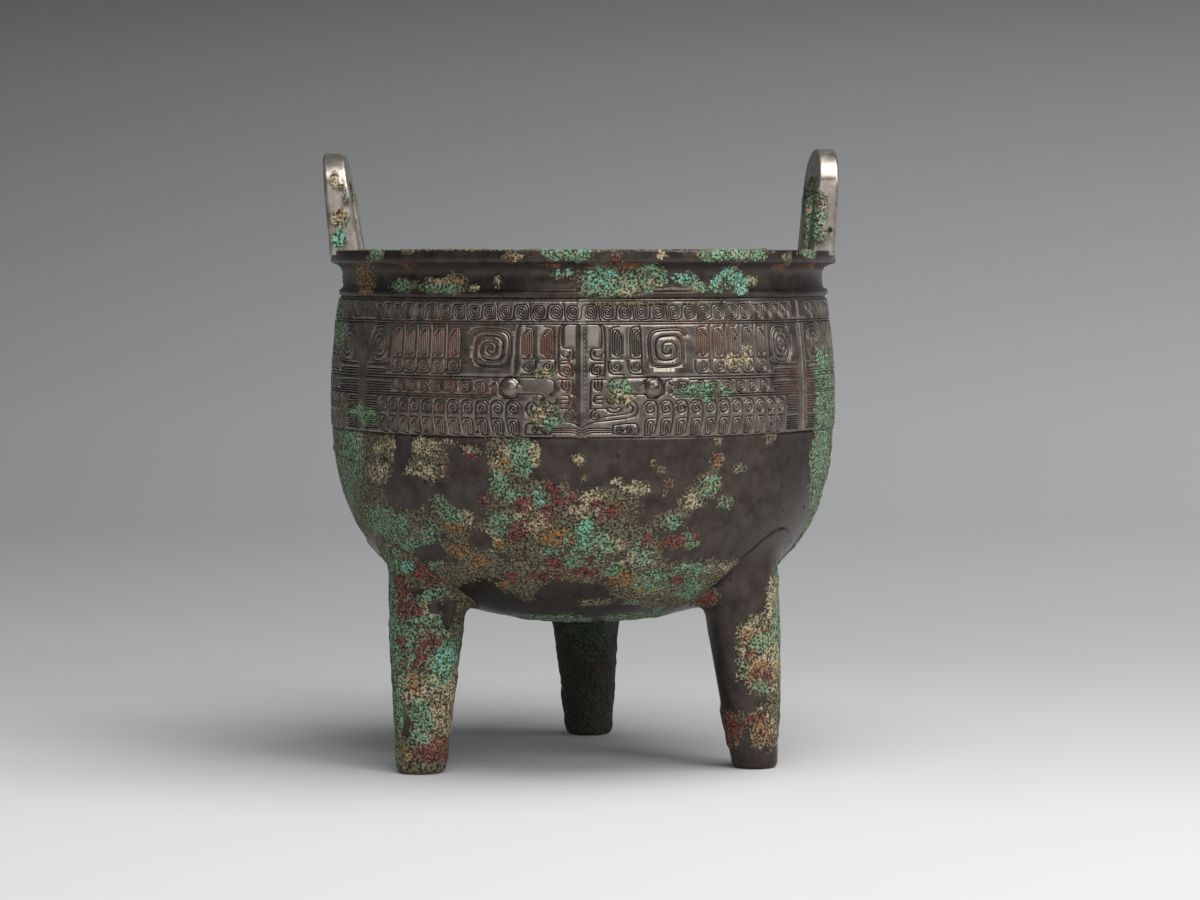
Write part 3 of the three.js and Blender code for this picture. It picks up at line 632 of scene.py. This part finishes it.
def faceStrokes(side):  # half a mask, drawn for the right half
    shift = 0 if side < 0 else -2.6  # the right half is drawn a little tighter
    strokes = []
    line = lambda *points: strokes.append(rounded(points))
    # between the nose and the brow: a stack of hooks and curls
    line(
        (5.4, 151.1), (6.5, 150.5), (6.5, 143.9), (5.4, 143.7), (3.4, 143.7), (2.8, 142.9), (2.8, 140.8),
        (3.6, 139.8), (6.4, 139.8)
    )
    line((6.4, 141.7), (5.9, 140.9), (4.2, 140.9), (3.8, 141.6), (3.8, 142.4))
    line((6.3, 151.1), (7.6, 150.2), (7.6, 136.2), (6.8, 134.9), (5.0, 134.6))
    line((6.7, 138.7), (4.4, 138.8), (2.8, 138.2), (2.5, 136.6))
    strokes.append(coil(4.7, 136.6, (1.75, 1.75), 1.8, 120, 1, 2.4))
    line((7.6, 133.6), (3.4, 133.7), (2.7, 132.6), (2.7, 124.4))
    line((4.1, 133.0), (4.1, 130.8), (5.0, 130.0), (6.3, 130.3), (6.4, 133.0))
    line((5.1, 132.9), (5.2, 131.3))
    line((6.5, 128.6), (4.4, 128.5), (3.8, 127.6), (3.9, 126.3), (4.8, 125.8), (6.5, 125.9))
    line((6.5, 127.3), (5.0, 127.2))
    line((2.9, 124.1), (6.6, 124.4))
    strokes.append(coil(4.4, 121.9, (1.7, 1.7), 1.9, 100, 1, 2.6))
    # jaw, nostril and beard
    line(
        (0.4, 118.6), (3.2, 119.9), (8.5, 120.4), (15.2, 121.2), (17.6, 122.2), (18.3, 124.4), (17.4, 126.3),
        (15.0, 126.2), (14.6, 124.9)
    )
    line((7.4, 121.7), (14.6, 122.5), (16.4, 123.3), (16.6, 124.8), (15.9, 125.3))
    line((8.1, 124.1), (9.2, 122.9), (11.4, 122.9), (12.7, 124.0))
    line((9.1, 124.6), (10.3, 123.9), (11.6, 124.6))
    strokes.append(coil(12.6, 126.5, (1.2, 1.1), 1.5, 120, -1, 2.2))
    line((8.0, 127.6), (8.3, 126.0), (9.6, 125.5), (10.6, 126.4))
    for k in range(3):
        line((0.3 + 0.2 * k, 117.3 - 0.75 * k), (3.0, 118.1 - 0.75 * k), (9.5, 117.8 - 0.6 * k))
    line((10.6, 118.9), (14.0, 119.4), (17.6, 119.5), (18.4, 118.6), (18.3, 116.6))
    line((10.0, 118.6), (9.9, 116.4), (10.8, 115.9), (17.4, 115.9))
    curl = coil(12.2, 117.5, (1.15, 1.15), 1.4, -90, -1, 2.2)[::-1]
    strokes.append(np.concatenate((curl, coil(15.1, 117.3, (1.15, 1.15), 1.4, 90, -1, 2.2))))
    # eye in its long plain field
    along, height, radius, _ = carving["eye"]
    ring = np.radians(np.linspace(-150, 150, 40))
    strokes.append(np.stack(
        (along + (radius + 0.55) * np.cos(ring), height + (radius + 0.5) * np.sin(ring)), axis=1
    ))
    line((88, 134.3), (12.0, 134.3), (9.2, 133.6), (8.5, 131.8), (8.9, 129.6), (10.4, 128.8))
    line((20.9, 128.8), (14.0, 129.0), (12.4, 128.4), (12.0, 127.2), (13.2, 126.9))
    line((29.6, 133.5), (27.9, 133.2), (26.9, 131.6), (27.4, 129.4), (26.2, 128.2), (23.5, 127.5))
    strokes.append(coil(29.3, 129.8, (1.1, 1.1), 1.4, 90, 1, 2.2))
    line((28.6, 132.6), (30.1, 131.6))
    # brow: two feathers, the horn, five feathers and the tail's oval
    for at, width in ((11.1, 3.9), (17.6, 3.7)):
        strokes.extend(featherStrokes(at, width, 141.6, 150.6))
        strokes.append(coil(at + 0.1, 137.7, (1.75, 1.7), 1.7, 170, 1, 2.4))
        line((at - 2.6, 139.6), (at - 2.4, 136.4), (at - 1.2, 135.2), (at + 2.2, 135.2))
    hornAt, hornHalf = (30.6, 8.1) if side < 0 else (28.6, 7.6)
    for inset, close in ((0, 0), (0.8, 0.06)):
        half = (hornHalf - inset, 7.15 - inset)
        strokes.append(coil(hornAt, 143.2, half, 2.9, 38 + 6 * close, 1, 4.2, 0.1 + close))
    line((hornAt - 8.6, 135.4), (hornAt - 9.0, 137.0), (hornAt - 9.0, 149.0), (hornAt - 9.8, 150.9))
    for k in range(5):
        at = 43.9 + shift + carving["cellPitch"] * k
        strokes.extend(featherStrokes(at, 4.4 - 0.15 * k, 141.6, 150.6))
        strokes.append(coil(at + 0.1, 137.6, (1.85, 1.7), 1.8, 170, 1, 2.4))
        line((at - 2.9, 139.6), (at - 2.9, 136.4), (at - 1.7, 135.3), (at + 2.0, 135.3))
        line((at + 3.1, 151.0), (at + 2.7, 149.0), (at + 2.7, 137.0))
    tailAt = 80.3 + shift
    for half in ((6.4, 6.7), (5.5, 5.8)):
        strokes.append(coil(tailAt, 144.2, half, 1.0, 60, 1, 3.2, 0.95))
    strokes.append(coil(tailAt, 144.2, (4.2, 4.7), 2.2, 90, 1, 2.8, 0.12))
    strokes.extend(ruledPack(tailAt - 5.2, 87.6, 135.2, 136.9))
    line((tailAt - 6.6, 138.9), (tailAt - 4.6, 137.7), (87.2, 137.6))
    # row of small curls between two rules, ending in level lines
    for k in range(7):
        hand = 1 if k % 2 else -1
        strokes.append(coil(33.9 + 5.6 * k, 131.1, (2.15, 2.05), 2.3, 90 * hand, -1, 3.2))
    line((88, 133.4), (36.5, 133.4))
    line((88, 128.5), (30.5, 128.5))
    line((88, 127.75), (31, 127.75))
    strokes.extend(ruledPack(72.2, 87.6, 129.3, 132.7))
    # lower row of leaning cells, ending in two packs of level lines
    for k in range(11):
        strokes.extend(lowerCell(22.4 + 5.35 * k, 127.0))
    strokes.extend(ruledPack(80.5, 87.8, 122.4, 126.6, 0.8))
    strokes.extend(ruledPack(79.8, 87.6, 116.4, 121.0, 0.8))
    line((89.0, 151.0), (89.0, 117.2), (88.2, 116.0), (86.5, 115.9))
    return [stroke * (side, 1) for stroke in strokes]


def panelStrokes():
    strokes = [np.array([(-carving["edge"], level), (carving["edge"], level)]) for level in carving["rules"]]
    strokes.extend(spiralPairs())
    for side in (-1, 1):
        strokes.extend(faceStrokes(side))
    return strokes


def carvedSheet():  # one lobe's relief: points as (along, height, lift), their soil, and triangles
    width, floor, depth = carving["stroke"] / 2, carving["bottom"] / 2, carving["depth"]
    low, high, edge = bowl["bandBottom"] - 0.65, bowl["bandTop"] - 0.65, carving["edge"]
    middles, offsets = [], []
    for stroke in panelStrokes():
        line = resample(stroke, carving["sample"])
        run = np.gradient(line, axis=0)
        across = np.stack((-run[:, 1], run[:, 0]), axis=1) / np.linalg.norm(run, axis=1)[:, None]
        middles.append(resample(stroke, 0.12))
        for share in (-width, -floor, floor, width):
            offsets.append(line + across * share)
    middles = np.concatenate(middles)
    tree = kdtree.KDTree(len(middles))
    for i, (x, y) in enumerate(middles):
        tree.insert((x, y, 0), i)
    tree.balance()
    ground = [(x, y) for x in np.linspace(-edge, edge, 122) for y in np.linspace(low, high, 31)]
    sides = [(x, y) for y in (low, high) for x in np.arange(-edge, edge + 0.1, 0.6)]
    below = [(x, y) for y in (low + 0.75, high - 0.75) for x in np.arange(-edge, edge + 0.1, 0.6)]
    creases = [
        (side * x, y)
        for side in (-1, 1)
        for x in (edge, edge - 0.5, edge - 0.9)
        for y in np.arange(low, high, 0.7)
    ]
    noseLow, noseHigh, foot, crest, rise = carving["nose"]
    ridge = [
        (x, y)
        for x in (-foot, -crest, 0, crest, foot)
        for y in np.arange(noseLow - 0.6, noseHigh + 0.6, 0.45)
    ]
    eyeAlong, eyeHeight, eyeRadius, eyeRise = carving["eye"]
    balls = []
    for side in (-1, 1):
        for share in (0, 0.2, 0.4, 0.6, 0.75, 0.87, 0.95, 1.0):
            for turn in np.radians(np.arange(0, 360, 12)) if share else (0,):
                balls.append((
                    side * eyeAlong + eyeRadius * share * math.cos(turn),
                    eyeHeight + eyeRadius * share * math.sin(turn)
                ))
    points = np.concatenate([*offsets, ground, sides, below, creases, ridge, balls])
    aside, up = np.abs(points[:, 0]), points[:, 1]
    inside = (aside <= edge + 1e-6) & (up >= low - 1e-6) & (up <= high + 1e-6)
    points = points[inside]
    # points that share a 0.07 mm cell are merged
    _, kept = np.unique(np.round(points / 0.07).astype(np.int64), axis=0, return_index=True)
    points = points[np.sort(kept)]
    made = delaunay_2d_cdt([Vector(p) for p in points.tolist()], [], [], 0, 1e-5)
    points = np.array([tuple(v) for v in made[0]])
    away = np.array([tree.find((x, y, 0))[2] for x, y in points])
    cut = 1 - smoothStep(floor * 0.9, width * 1.02, away)
    lift = -depth * cut
    border = np.minimum(points[:, 1] - low, high - points[:, 1])
    lift = np.minimum(lift, -0.8 * (1 - np.clip(border / 0.75, 0, 1)))
    lift = np.minimum(lift, -0.35 * (1 - np.clip((edge - np.abs(points[:, 0])) / 0.9, 0, 1)))
    flank = np.clip((foot - np.abs(points[:, 0])) / (foot - crest), 0, 1)
    ends = np.clip(np.minimum(points[:, 1] - noseLow, noseHigh - points[:, 1]) / 0.6 + 1, 0, 1)
    lift = np.maximum(lift, np.where(flank > 0, rise * flank * ends, -9))
    for side in (-1, 1):
        gone = np.hypot(points[:, 0] - side * eyeAlong, points[:, 1] - eyeHeight) / eyeRadius
        ball = eyeRise * np.sqrt(np.clip(1 - gone**2, 0, 1))
        lift = np.where(gone <= 1, ball, lift)
    soilAndShade = np.clip(cut, 0, 1)
    return points, lift, soilAndShade, [tuple(face) for face in made[2]]


def makeBand(material):
    flat, lift, soilAndShade, faces = carvedSheet()
    pieces = []
    fit = math.radians(60) / (carving["edge"] / bowl["bellyRadius"])
    for lobe, name in enumerate(("bandFront", "bandRight", "bandLeft")):
        angle = flat[:, 0] / bowl["bellyRadius"] * fit + lobe * 2 * math.pi / 3
        radius = bowlRadius(flat[:, 1]) * lobing(angle, flat[:, 1])
        points = around(angle, radius, flat[:, 1])
        paints = corrode(points, -0.12, bandCorrosion, hidden=False)
        paints["soilAndShade"] = soilAndShade
        rust = np.clip(patchMask(points, bandCorrosion["rust"], False), -0.7, 0.5)
        paints["rust"] = rust + 0.5 * fractal(points, 8, 3, 44)
        height = lift + fractal(points, 9, 2, 77) * 0.06 + crustHeight(points, paints["crust"], 0.35)
        points = around(angle, radius + height, flat[:, 1])
        pieces.append(meshPiece(name, points, faces, material, paints))
    return pieces


bandCorrosion = {
    "crust": [
        (-10.5, 121.5, 6.5, 5), (-12, 135.5, 3.5, 1.8), (12, 129, 6.5, 4.5), (40, 129.5, 9.5, 3.2),
        (54, 141, 3, 5), (-71, 120, 4, 3.5), (-78, 122, 4, 5), (49, 139, 4, 3), (-66, 160, 3, 1),
        (-3.4, 140, 0.8, 0.8), (-3.2, 128, 1, 1), (82, 125, 5, 20), (-83, 150, 3, 9), (20, 158, 22, 0.8),
        (-50, 131, 3, 1.6),
    ],
    "green": [
        (-9, 119.5, 6, 2.5), (-8, 125, 3, 1.6), (12, 131, 4, 2.5), (40, 129.5, 11, 3.4), (-73, 120, 6, 4),
        (82, 125, 6, 20), (-83, 150, 4, 10)
    ],
    "tan": [
        (-12, 135.5, 4, 2), (-13, 122, 3, 3), (14, 127, 4, 3), (54, 141, 3, 5), (49, 139, 4, 3),
        (-3.3, 134, 1, 8)
    ],
    "red": [(-60, 123, 6, 2)],
    "rust": [
        (-50, 145, 22, 9), (-45, 130.5, 22, 3), (-48, 120, 14, 5), (-12, 146, 5, 6), (-18.5, 145, 4, 5),
        (-5, 128, 4, 12), (42, 146, 12, 7), (75, 130, 8, 14)
    ],
}


# Legs: tapering round shafts that flow into the underside with a small cove
legs = {
    "columns": 112,
    "step": 0.8,
    "radii": [(0, 7.6), (8, 8.4), (45, 11.8), (76, 13.2)],  # height, radius
    "footEdge": 1.6,  # mm, radius
    "joint": 62,  # height at which the reach is given
    "cove": (5.5, 5),  # mm down the leg and out along the bowl
    "places": {
        "legLeft": {"around": -60, "reach": 60.4, "footAround": -53.4, "footReach": 67.6},
        "legRight": {"around": 60, "reach": 61.2, "footAround": 65.6, "footReach": 64.2},
        "legBack": {"around": 180, "reach": 60.0, "footAround": 178.2, "footReach": 62.6},
    },
}
legCorrosion = {
    "crust": [
        (-54, 36, 22, 60), (59, 38, 8, 14), (64.5, 58, 3, 12), (61, 14, 5.5, 9), (65, 34, 4, 30),
        (50, 14, 5, 7), (40.6, 58.7, 5, 4), (2, 30, 16, 50), (57, 52, 2, 2),
    ],
    "red": [
        (-54.6, 68.5, 2.4, 3), (-60.5, 62, 2.2, 5), (-58.2, 55, 4.2, 3.6), (-53.4, 40.7, 2.8, 2.6),
        (-52.9, 46, 3, 3), (-49.5, 44.6, 2.5, 4), (-56.5, 37.6, 2.2, 1.8), (-60.5, 43.6, 2, 3),
        (-51, 7, 6.5, 3.4), (-48, 11, 2.6, 3), (58.6, 18, 2.8, 2.4), (50, 14, 5, 7), (41, 59, 4, 3),
        (57, 40, 3, 2), (60, 32, 4, 3), (-47, 66, 6, 4),
    ],
    "green": [
        (-51.5, 49.5, 8, 5), (-57.5, 45.5, 6, 9), (-46.5, 38.7, 6, 7), (-48.5, 32.4, 4, 4), (-54, 17, 4, 8),
        (-58, 69, 3, 2), (-50, 60, 5, 4), (59.6, 44, 3.4, 3.4), (60, 29, 2.8, 5), (53.3, 35, 2.4, 2.6),
        (66, 55, 3, 16), (-63, 40, 4, 40), (2, 40, 10, 12),
    ],
    "tan": [
        (-50, 29, 8, 5), (-57, 29, 5, 5), (-48.5, 20, 4.5, 5), (-50.4, 11, 3.4, 3.4), (-52, 55, 5, 3),
        (58, 38, 9, 13), (61, 13, 5, 8), (64, 56, 3, 10), (-45, 24, 3, 12),
    ],
    "ochre": [
        (-60, 6, 2.4, 3.4), (58, 46, 4, 3), (60, 34, 5, 4), (61, 12, 4, 5), (41, 58, 4, 3), (-57, 30, 3, 3)
    ],
    "blue": [(-58.5, 69.5, 2.4, 2.2), (-46.5, 38.7, 3.4, 4.4)],
    "bare": [(-55.6, 61.5, 3.4, 2.8), (-49, 56, 3.4, 3.2), (-45, 54, 3, 7), (-59, 16, 3, 7), (-44, 68, 8, 3)],
}


def makeLeg(name, place, material, amount):
    def at(angle, reach):
        return around(math.radians(angle), reach, 0)[:2]

    foot, joint = at(place["footAround"], place["footReach"]), at(place["around"], place["reach"])
    heights, radii = zip(*legs["radii"])
    turn = np.linspace(0, 2 * math.pi, legs["columns"], endpoint=False)
    out = np.stack((np.cos(turn), np.sin(turn)), axis=1)

    def skin(height):  # the bare shaft's point in each column, at that column's own height
        middle = foot + (joint - foot) * (height / legs["joint"])[:, None]
        radius = np.interp(height, heights, radii)[:, None]
        return np.concatenate((middle + out * radius, height[:, None]), axis=1)

    low, high = np.full(len(turn), 20.0), np.full(len(turn), 100.0)
    for _ in range(30):  # where the shaft meets the bowl
        middle = (low + high) / 2
        point = skin(middle)
        outside = np.hypot(point[:, 0], point[:, 1]) > bowlRadius(point[:, 2])
        low, high = np.where(outside, middle, low), np.where(outside, high, middle)
    down, along = legs["cove"]
    corner = skin(low)
    start = skin(low - down)
    spread = corner[:, :2] + out * along
    reach = np.hypot(spread[:, 0], spread[:, 1])
    limit = bowl["bellyRadius"] - 1.2
    spread *= np.minimum(1, limit / reach)[:, None]
    reach = np.minimum(reach, limit)
    end = np.concatenate((spread, undersideHeight(reach)[:, None]), axis=1)
    rows = []
    edge = legs["footEdge"]
    for share in np.linspace(0.12, 1, 7):  # flat underside
        ring = skin(np.zeros(len(turn)))
        middle = np.append(foot, 0)
        rows.append(middle + (ring - middle) * (1 - edge / radii[0]) * share)
    for step in range(1, 6):  # rounded edge of the foot
        bend = math.radians(90 * step / 5)
        ring = skin(np.full(len(turn), edge * (1 - math.cos(bend))))
        middle = np.append(foot, 0)
        ring[:, :2] -= out * edge * (1 - math.sin(bend))
        rows.append(ring)
    count = int((legs["joint"] - down) / legs["step"])
    for share in np.linspace(0, 1, count)[1:]:
        rows.append(skin(edge + (low - down - edge) * share))
    for share in np.linspace(0, 1, 13)[1:]:
        rows.append(start * (1 - share) ** 2 + corner * 2 * share * (1 - share) + end * share**2)
    inward = end.copy()  # a last ring, tucked under the bowl's skin
    inward[:, :2] *= 0.985
    inward[:, 2] += 0.8
    rows.append(inward)
    points = np.concatenate(rows)
    paints = corrode(points, amount, legCorrosion, hidden=False)
    paints["soilAndShade"] = 0 * paints["crust"]
    paints["rust"] = 0 * paints["crust"]
    ring = np.repeat(np.arange(len(rows)), legs["columns"])
    fade = smoothStep(6, 14, ring) * (1 - smoothStep(len(rows) - 5, len(rows) - 1, ring))
    lift = fractal(points, 24, 2, 14) * 0.3 + fractal(points, 6, 2, 9) * 0.12
    lift = (lift + crustHeight(points, paints["crust"], 0.8)) * fade
    points[:, :2] += np.tile(out, (len(rows), 1)) * lift[:, None]
    faces = gridFaces(len(rows), legs["columns"])
    faces.append(tuple(reversed(range(legs["columns"]))))
    return meshPiece(name, points, faces, material, paints)


# Handles: upright loops of squared bar standing on the rim
handles = {
    "halfWidth": 19.4,
    "bar": 9.2,  # mm, width of the bar seen from the side
    "crown": 13,  # rise of the outer arch
    "opening": 6.4,  # rise of the inner arch
    "sink": 2,  # how far the feet go into the rim
    "edge": 0.7,  # mm, radius of the bar's edges
    "step": 0.8,
    "places": {
        "handleLeft": {"side": -1, "height": 33, "inner": (75.9, 81.6), "outer": (86.1, 88.9), "yaw": 0.5},
        "handleRight": {"side": 1, "height": 34.4, "inner": (76.3, 79.6), "outer": (84.3, 86), "yaw": 4.4},
    },
}
handleCorrosion = {
    "crust": [
        (-82.4, 178.8, 2.6, 4.4), (-82.5, 186, 3.4, 4.6), (-80.5, 193, 1.8, 3.4), (-84, 199, 1.8, 4),
        (-82, 196, 2, 2), (79.6, 187, 3.4, 11), (81, 180, 3, 3), (77.4, 186, 1.2, 12),
    ],
    "green": [(-82.4, 178.8, 3, 4.6), (79, 188, 3.6, 11), (77, 183, 2, 8), (-81, 194, 2, 3)],
    "tan": [(-82.5, 186, 3, 3.4), (80, 186, 2.6, 8), (-84, 200, 2, 4)],
    "ochre": [(-80.4, 191, 1.6, 2), (-82, 187, 2, 2), (78.6, 180, 2, 1.6)],
    "red": [(80, 191, 1.2, 1.2)],
    "blue": [(-82.4, 178.6, 3, 4.2)],
}


def makeHandle(name, place, material):
    height, width, bar = place["height"], handles["halfWidth"], handles["bar"]

    def arch(half, crown, spring):
        bend = np.radians(np.linspace(180, 0, 61))
        top = [(half * math.cos(a), spring + crown * math.sin(a)) for a in bend]
        return resample([(-half, -handles["sink"])] + top + [(half, -handles["sink"])], 0.02)

    outside = arch(width, handles["crown"], height - handles["crown"])
    inside = arch(width - bar, handles["opening"], height - bar - handles["opening"])
    stations = int(85 / handles["step"])
    share = np.linspace(0, 1, stations)

    def along(line, share):
        at = share * (len(line) - 1)
        return np.stack([np.interp(at, np.arange(len(line)), line[:, k]) for k in (0, 1)], axis=1)

    outsideLine, insideLine = along(outside, share), along(inside, share)
    edge = handles["edge"] / bar
    section = []
    for cornerAcross, cornerDeep, start in ((1, 1, 0), (0, 1, 90), (0, 0, 180), (1, 0, 270)):
        centre = (abs(cornerAcross - edge), abs(cornerDeep - edge))
        for step in range(5):
            turn = math.radians(start + 90 * step / 4)
            section.append((centre[0] + edge * math.cos(turn), centre[1] + edge * math.sin(turn)))
    section = resample(section + section[:1], 0.085)[:-1]
    rows = []
    for outer, inner in zip(outsideLine, insideLine):
        flat = inner + (outer - inner) * section[:, :1]
        up = np.clip(flat[:, 1] / height, 0, 1)
        near = place["inner"][0] + (place["inner"][1] - place["inner"][0]) * up
        far = place["outer"][0] + (place["outer"][1] - place["outer"][0]) * up
        out = near + (far - near) * section[:, 1]
        turn = math.radians(place["yaw"])
        x = place["side"] * (out - flat[:, 0] * math.sin(turn))
        y = place["side"] * flat[:, 0] * math.cos(turn)
        rows.append(np.stack((x, y, bowl["lipTop"] + flat[:, 1]), axis=1))
    columns = len(section)
    points = np.concatenate(rows)
    faces = gridFaces(stations, columns)
    faces.append(tuple(reversed(range(columns))))
    faces.append(tuple(range((stations - 1) * columns, stations * columns)))
    paints = corrode(points, -0.1, handleCorrosion, hidden=False)
    paints["soilAndShade"] = 0 * paints["crust"]
    paints["rust"] = 0 * paints["crust"]
    centre = np.repeat(np.array([row.mean(axis=0) for row in rows]), columns, axis=0)
    out = points - centre
    out /= np.linalg.norm(out, axis=1)[:, None]
    lift = fractal(points, 10, 3, 21) * 0.18 + crustHeight(points, paints["crust"], 0.5)
    points = points + out * lift[:, None]
    return meshPiece(name, points, faces, material, paints)


# Camera, light and floor


def makeStage():
    def lightPanel(name, place, aim, size, power, colour="#ffffff"):
        lamp = bpy.data.lights.new(name, "AREA")
        lamp.shape = "RECTANGLE"
        lamp.size, lamp.size_y = size
        lamp.energy = power
        lamp.color = linear(colour)[:3]
        panel = bpy.data.objects.new(name, lamp)
        panel.location = place
        panel.rotation_euler = (Vector(aim) - Vector(place)).to_track_quat("-Z", "Y").to_euler()
        bpy.context.scene.collection.objects.link(panel)

    middle = (axisX * mm, axisY * mm, 0.11)
    lightPanel("overheadSoftbox", (0.25, -0.25, 1.15), middle, (1.1, 0.8), 14)
    lightPanel("keySoftbox", (0.95, -0.95, 1.05), middle, (0.6, 0.6), 8)
    lightPanel("frontSoftbox", (0.15, -2.3, 0.8), middle, (1.7, 1.0), 9)
    lightPanel("sideStrip", (1.3, -0.1, 0.4), middle, (0.25, 0.9), 2)
    world = bpy.data.worlds.new("studio")
    world.use_nodes = True
    world.node_tree.nodes["Background"].inputs["Color"].default_value = linear("#b9bcc0")
    world.node_tree.nodes["Background"].inputs["Strength"].default_value = 0.35
    bpy.context.scene.world = world

    # painted light: the paper's colour is graded from pale at the front to dark at the top, and paler to the
    # right, for the fall of the studio light; (m along the paper, how pale)
    sweep = {"half": 2.6, "near": -2.2, "far": 1.1, "radius": 0.9, "high": 2.6, "tilt": 0.42}
    grading = [
        (-0.6, 0.68), (-0.22, 0.66), (-0.12, 0.65), (0, 0.58), (0.14, 0.53), (0.31, 0.49), (0.54, 0.52),
        (0.84, 0.62), (1.1, 0.72), (1.41, 0.69), (1.57, 0.6), (1.73, 0.49), (1.885, 0.36), (1.97, 0.26),
    ]
    line = [(y, 0.0, y) for y in np.linspace(sweep["near"], sweep["far"], 60)]
    for step in range(1, 49):
        turn = math.radians(90 * step / 48)
        rise = sweep["radius"] * (1 - math.cos(turn))
        line.append((
            sweep["far"] + sweep["radius"] * math.sin(turn), rise, sweep["far"] + sweep["radius"] * turn
        ))
    line.append((sweep["far"] + sweep["radius"], sweep["high"], 9))
    across = np.linspace(-sweep["half"], sweep["half"], 14)
    points = [(x, y, z) for y, z, _ in line for x in across]
    tones = []
    for _, _, run in line:
        # painted light: paler towards the right, where the key light falls
        tilt = sweep["tilt"] * np.clip(across, -0.7, 0.7) * np.clip(run, 0, 1)
        tones.extend(np.interp(run, *zip(*grading)) * (1 + tilt))
    faces = gridFaces(len(line), len(across), closed=False)
    mesh = bpy.data.meshes.new("paperSweep")
    mesh.from_pydata(points, [], faces)
    mesh.polygons.foreach_set("use_smooth", [True] * len(faces))
    layer = mesh.attributes.new("tone", "FLOAT_COLOR", "POINT")
    layer.data.foreach_set("color", np.repeat(np.array(tones)[:, None], 4, axis=1).astype(np.float32).ravel())
    paper = bpy.data.materials.new("matt grey background paper")
    paper.use_nodes = True
    tree = paper.node_tree
    shader = tree.nodes["Principled BSDF"]
    tone = addNode(tree, "Attribute", output="Color", attribute_name="tone")
    tree.links.new(tone, shader.inputs["Base Color"])
    shader.inputs["Roughness"].default_value = 0.9
    mesh.materials.append(paper)
    sheet = bpy.data.objects.new("paperSweep", mesh)
    bpy.context.scene.collection.objects.link(sheet)

    lens = {"focal": 114.5, "sensor": 36, "distance": 1316, "height": 176, "across": 5.9, "down": 3.03}
    camera = bpy.data.cameras.new("camera")
    camera.lens = lens["focal"]
    camera.sensor_width = lens["sensor"]
    camera.clip_end = 20
    eye = bpy.data.objects.new("camera", camera)
    eye.location = ((axisX + lens["across"]) * mm, (axisY - lens["distance"]) * mm, lens["height"] * mm)
    eye.rotation_euler = (math.radians(90 - lens["down"]), 0, 0)
    bpy.context.scene.collection.objects.link(eye)
    bpy.context.scene.camera = eye
    bpy.context.scene.view_settings.view_transform = "Standard"


makeStage()

makeBowl(corrodedBronze("cast bronze of the bowl"))
# the carved band's paler skin is painted sheen for the light its raised lands catch, and the grooves stay
# black
bandLook = {"skin": ("#5d554e", "#8b8279"), "skinRoughness": (0.22, 0.36)}
makeBand(corrodedBronze("cast bronze of the carved band, painted sheen", bandLook))
legMaterial = corrodedBronze("cast bronze of the legs")
# the back leg stands in the bowl's shade, so its colour is darkened as painted shade
shadedLegMaterial = corrodedBronze("cast bronze of the back leg, in painted shade", {"paintedShade": 0.8, "metallic": 0.5})
for name, amount in (("legLeft", 0.25), ("legRight", -0.05), ("legBack", 0.1)):
    makeLeg(name, legs["places"][name], shadedLegMaterial if name == "legBack" else legMaterial, amount)
# paler skin than the bowl's: painted sheen for the bright reflections on the handles' faces
handleMaterial = corrodedBronze(
    "cast bronze of the handles, painted sheen", {"skin": ("#857c74", "#bdb4ab"), "pitPitch": 7.0}
)
for name, place in handles["places"].items():
    makeHandle(name, place, handleMaterial)
